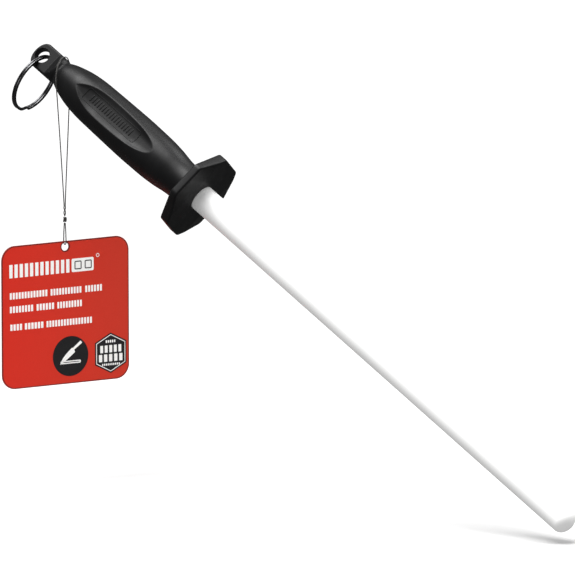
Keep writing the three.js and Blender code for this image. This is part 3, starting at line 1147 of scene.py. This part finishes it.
def paint_face(face, side):
    """The generic print of one side of the tag: rows of blank blocks, a box, a disc and a hexagon, with dark
    lines of painted shade along the card's edge and round its hole.
    """
    white = CardLayer(face)
    low_u, high_u, low_v, high_v = HEADLINE
    white.row(low_u, high_u, low_v, high_v, HEADLINE_PITCH)
    white.box(3.4, 15.3, low_v, high_v, 0.7)
    white.line(circle(17.5, 26.0, 0.75, 20), 0.3)
    for low, high, words in TEXT_LINES:
        for start, end in words:
            white.row(start, end, low, high, LETTER_PITCH, 0.66)
    white.piece(f"tag_white_print_{side}", WHITE_INK, "tag_print_light")

    # painted shade: thin dark red lines just inside the card's edge and round its hole
    rim = CardLayer(face)
    border = rounded_box(-TAG_HALF, TAG_HALF, -TAG_HALF, TAG_HALF, 7, 14) * (1 - 0.3 / TAG_HALF)
    rim.line(border, 0.4)
    rim.line(circle(0, TAG_HOLE_V, 2.3), 0.5)
    rim.piece(f"tag_rim_line_{side}", EDGE_SHADE_PAINT, "tag_print_dark")

    black = CardLayer(face)
    black.patch(circle(*DISC))
    black.patch(subdivided(np.array(HEXAGON), 20))
    black.piece(f"tag_black_print_{side}", BLACK_INK, "tag_print_dark")

    detail = CardLayer(face, layer=1)
    disc_u, disc_v, disc_radius = DISC
    detail.patch(knife_outline(disc_u, disc_v + 1.6, disc_radius * 0.82, math.radians(38)))
    detail.line(rod_outline(disc_u, disc_v - 2.6), 0.5)
    middle = np.mean(HEXAGON, axis=0)
    detail.line(subdivided((np.array(HEXAGON) - middle) * 0.9 + middle, 3), 0.35)
    for row in HEXAGON_ROWS:
        detail.row(*row)
    detail.piece(f"tag_detail_print_{side}", WHITE_INK, "tag_print_light")

    squares = CardLayer(face, layer=1)
    for u in (5.2, 10.7):
        squares.line(rounded_box(u, u + 3.3, low_v + 1.4, high_v - 1.4, 0.4), 0.5)
    squares.piece(f"tag_box_marks_{side}", BLACK_INK, "tag_print_dark")


def rod_outline(u, v):
    """A plain rod lying below the knife."""
    return rounded_box(u - 5.2, u + 5.2, v - 0.7, v + 0.2, 0.3)


def make_tag():
    finish_card()
    paint_face(1, "front")
    paint_face(-1, "back")


make_tag()


# ---------------------------------------------------------------- floor, backdrop and light
FLOOR_DROP = 5 * MM  # below the object
FLOOR_RADIUS = 0.75
FLOOR_FADE = 0.3  # from here outwards the floor fades into the backdrop
FLOOR_ALBEDO = 0.5
AMBIENT = 0.6
MIRRORED = 0.11  # the dark studio that glossy surfaces reflect between the lights
BACKDROP = 1.1
FLOOR_SIDES = 96


def make_floor():
    level = CAD_BOX[0].z - FLOOR_DROP
    middle = (CAD_BOX[0] + CAD_BOX[1]) / 2
    mesh = bpy.data.meshes.new("floor")
    turn = [step / FLOOR_SIDES * TAU for step in range(FLOOR_SIDES)]
    rim = [(FLOOR_RADIUS * math.cos(t), FLOOR_RADIUS * math.sin(t), 0) for t in turn]
    mesh.from_pydata(rim, [], [list(range(len(rim)))])
    paint = Finish("pale_floor", Roughness=0.9, Specular_IOR_Level=0.0)
    mesh.materials.append(paint.material)
    reach = paint.node("ShaderNodeVectorMath", operation="LENGTH")
    paint.feed(reach.inputs[0], paint.place)
    shown = paint.between(reach.outputs["Value"], 1, 0, FLOOR_FADE, FLOOR_RADIUS)
    paint.use(Base_Color=(FLOOR_ALBEDO, FLOOR_ALBEDO, FLOOR_ALBEDO, 1), Alpha=shown)
    floor = bpy.data.objects.new("floor", mesh)
    floor.location = (middle.x, middle.y, level)
    floor.visible_glossy = False
    floor.visible_diffuse = False
    bpy.context.scene.collection.objects.link(floor)


def make_world():
    """White behind the object, and a softer light from all round it."""
    world = bpy.data.worlds.new("studio")
    bpy.context.scene.world = world
    world.use_nodes = True
    nodes, links = world.node_tree.nodes, world.node_tree.links
    rays = nodes.new("ShaderNodeLightPath")
    shades = []
    for strength in (AMBIENT, MIRRORED, BACKDROP):
        shade = nodes.new("ShaderNodeBackground")
        shade.inputs["Color"].default_value = (1, 1, 1, 1)
        shade.inputs["Strength"].default_value = strength
        shades.append(shade.outputs[0])
    glossy = nodes.new("ShaderNodeMixShader")
    seen = nodes.new("ShaderNodeMixShader")
    links.new(rays.outputs["Is Glossy Ray"], glossy.inputs[0])
    links.new(shades[0], glossy.inputs[1])
    links.new(shades[1], glossy.inputs[2])
    links.new(rays.outputs["Is Camera Ray"], seen.inputs[0])
    links.new(glossy.outputs[0], seen.inputs[1])
    links.new(shades[2], seen.inputs[2])
    links.new(seen.outputs[0], nodes["World Output"].inputs["Surface"])


def link_lamp(name, light, direction, place):
    lamp = bpy.data.objects.new(name, light)
    lamp.location = place
    lamp.rotation_mode = "QUATERNION"
    lamp.rotation_quaternion = direction.to_track_quat("Z", "Y")
    lamp.visible_camera = False
    bpy.context.scene.collection.objects.link(lamp)
    return lamp


def shine_only_on(lamp, body):
    """Keeps a light to the pieces that ride on one body, as a flagged studio light is kept."""
    lit = bpy.data.collections.new(f"lit_by_{lamp.name}")
    for piece in frame["bodies"][body].children:
        lit.objects.link(piece)
    lamp.light_linking.receiver_collection = lit


def make_far_light(name, direction, spread, strength):
    """A round soft light a long way off: spread is its width in degrees."""
    light = bpy.data.lights.new(name, "SUN")
    light.energy = strength
    light.angle = math.radians(spread)
    return link_lamp(name, light, direction, direction)


def make_light():
    make_far_light("key", seen_from(-0.2, 0.93, 0.3), 45, 5.2)
    make_far_light("rim", seen_from(0.62, 0.75, -0.12), 30, 1.6)
    tag_light = make_far_light("tag_light", seen_from(-0.1, 0.3, 0.95), 30, 1.25)
    shine_only_on(tag_light, "tag")
    left = make_far_light("left", seen_from(-0.9, 0.15, 0.3), 24, 0.5)
    shine_only_on(left, "ring")
    bpy.context.scene.view_settings.view_transform = "Standard"


make_floor()
make_world()
make_light()
